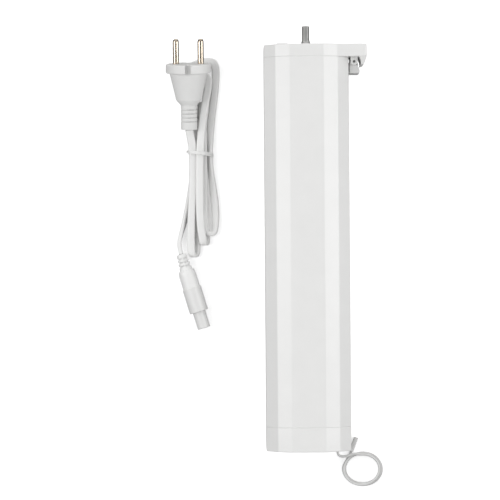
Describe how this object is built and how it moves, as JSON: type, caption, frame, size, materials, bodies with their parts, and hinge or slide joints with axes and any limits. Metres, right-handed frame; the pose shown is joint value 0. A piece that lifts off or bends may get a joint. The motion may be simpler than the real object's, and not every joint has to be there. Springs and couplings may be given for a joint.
{
  "type": "curtain motor",
  "caption": "Long faceted plastic motor housing with a hexagonal drive shaft and side hook, its coiled aerial wire and a separate plug-in mains lead.",
  "frame": {"origin": "centre of the housing's flat back face, which rests on the table", "axes": "+Y along the housing towards the drive shaft, +Z out of the faceted front, +X towards the side with the hook"},
  "size_m": [0.1663, 0.3561, 0.05],
  "materials": {
    "white_shell": "satin",
    "lever_plastic": "satin",
    "button_plastic": "satin",
    "pale_rubber": "matte",
    "cord_pvc": "satin",
    "connector_plastic": "smooth",
    "tie_pvc": "satin",
    "aerial_pvc": "satin",
    "bright_pins": "polished",
    "shaft_steel": "ground",
    "screw_steel": "zinc plated",
    "spring_steel": "ground",
    "bush_brass": "turned",
    "gear_plastic": "satin",
    "case_plastic": "satin",
    "motor_steel": "zinc plated",
    "magnet_ferrite": "sintered",
    "winding_copper": "enamelled",
    "dark_plastic": "satin",
    "damper_rubber": "matte",
    "board_laminate": "lacquered",
    "fuse_glass": "clear",
    "shield_metal": "tinned"
  },
  "bodies": {
    "housing": {"main_sleeve": "white_shell", "head_cap": "white_shell", "bottom_cap": "white_shell", "head_screws": "screw_steel", "gearbox_screws": "screw_steel", "bottom_screws": "screw_steel", "lever_pin": "shaft_steel", "lever_spring": "spring_steel", "end_pad": "pale_rubber", "output_bush": "bush_brass", "gear_case_cover": "case_plastic", "gear_case": "case_plastic", "motor_can": "motor_steel", "motor_magnets": "magnet_ferrite", "motor_end_bell": "dark_plastic", "motor_brushes": "dark_plastic", "sensor_board": "board_laminate", "front_damper": "damper_rubber", "rear_damper": "damper_rubber", "control_board": "board_laminate", "power_board": "board_laminate", "transformer": "dark_plastic", "capacitors": "dark_plastic", "fuse": "fuse_glass", "radio_module": "shield_metal", "power_inlet": "dark_plastic", "inlet_pins": "bright_pins", "set_switch": "dark_plastic", "aerial_grommet": "pale_rubber", "aerial_lead": "aerial_pvc", "aerial_coil": "aerial_pvc", "aerial_tip": "aerial_pvc"},
    "output": {"drive_shaft": "shaft_steel", "shaft_collar": "shaft_steel", "output_carrier": "gear_plastic"},
    "first_stage": {"first_carrier": "gear_plastic"},
    "rotor": {"rotor_shaft": "shaft_steel", "rotor_core": "motor_steel", "rotor_windings": "winding_copper", "commutator": "bush_brass", "motor_pinion": "bush_brass", "speed_disc": "magnet_ferrite"},
    "lever": {"release_lever": "lever_plastic"},
    "button": {"set_button": "button_plastic"},
    "lead": {"plug_body": "cord_pvc", "plug_pins": "bright_pins", "plug_relief": "cord_pvc", "cord_hank": "cord_pvc", "cord_tie": "tie_pvc", "connector_strand": "cord_pvc", "connector_relief": "cord_pvc", "connector_body": "cord_pvc", "connector_sleeve": "connector_plastic", "connector_nose": "connector_plastic"},
    "planet_2a": {"stage_2_planet_a": "gear_plastic"},
    "planet_2b": {"stage_2_planet_b": "gear_plastic"},
    "planet_2c": {"stage_2_planet_c": "gear_plastic"},
    "planet_1a": {"stage_1_planet_a": "gear_plastic"},
    "planet_1b": {"stage_1_planet_b": "gear_plastic"},
    "planet_1c": {"stage_1_planet_c": "gear_plastic"}
  },
  "joints": [
    {"name": "drive_spin", "type": "hinge", "parent": "housing", "child": "output", "pos_m": [0, 0.13, 0.025], "axis": [0, 1, 0], "continuous": true},
    {"name": "stage_2_planet_a_spin", "type": "hinge", "parent": "output", "child": "planet_2a", "pos_m": [0, 0.1316, 0.03625], "axis": [0, 1, 0], "continuous": true},
    {"name": "stage_2_planet_b_spin", "type": "hinge", "parent": "output", "child": "planet_2b", "pos_m": [-0.00974, 0.1316, 0.01937], "axis": [0, 1, 0], "continuous": true},
    {"name": "stage_2_planet_c_spin", "type": "hinge", "parent": "output", "child": "planet_2c", "pos_m": [0.00974, 0.1316, 0.01937], "axis": [0, 1, 0], "continuous": true},
    {"name": "first_carrier_spin", "type": "hinge", "parent": "housing", "child": "first_stage", "pos_m": [0, 0.12, 0.025], "axis": [0, 1, 0], "continuous": true},
    {"name": "stage_1_planet_a_spin", "type": "hinge", "parent": "first_stage", "child": "planet_1a", "pos_m": [0, 0.1187, 0.03625], "axis": [0, 1, 0], "continuous": true},
    {"name": "stage_1_planet_b_spin", "type": "hinge", "parent": "first_stage", "child": "planet_1b", "pos_m": [-0.00974, 0.1187, 0.01937], "axis": [0, 1, 0], "continuous": true},
    {"name": "stage_1_planet_c_spin", "type": "hinge", "parent": "first_stage", "child": "planet_1c", "pos_m": [0.00974, 0.1187, 0.01937], "axis": [0, 1, 0], "continuous": true},
    {"name": "rotor_spin", "type": "hinge", "parent": "housing", "child": "rotor", "pos_m": [0, 0.08, 0.025], "axis": [0, 1, 0], "continuous": true},
    {"name": "release_lever_turn", "type": "hinge", "parent": "housing", "child": "lever", "pos_m": [0.03645, 0.1415, 0], "axis": [0, 0, 1], "range_deg": [0, 12], "stiffness_Nm_per_rad": 0.4, "springref_deg": -5.73},
    {"name": "set_button_press", "type": "slide", "parent": "housing", "child": "button", "axis": [0, 1, 0], "range_m": [0, 0.0008], "stiffness_N_per_m": 800, "springref_m": -0.001},
    {"name": "lead_lift", "type": "slide", "parent": "housing", "child": "lead", "axis": [0, 0, 1], "range_m": [0, 0.08]}
  ],
  "couplings": [
    {"joint": "stage_2_planet_a_spin", "follows": "drive_spin", "ratio": -2.6667},
    {"joint": "stage_2_planet_b_spin", "follows": "drive_spin", "ratio": -2.6667},
    {"joint": "stage_2_planet_c_spin", "follows": "drive_spin", "ratio": -2.6667},
    {"joint": "first_carrier_spin", "follows": "drive_spin", "ratio": 5},
    {"joint": "stage_1_planet_a_spin", "follows": "drive_spin", "ratio": -13.333},
    {"joint": "stage_1_planet_b_spin", "follows": "drive_spin", "ratio": -13.333},
    {"joint": "stage_1_planet_c_spin", "follows": "drive_spin", "ratio": -13.333},
    {"joint": "rotor_spin", "follows": "drive_spin", "ratio": 25}
  ]
}
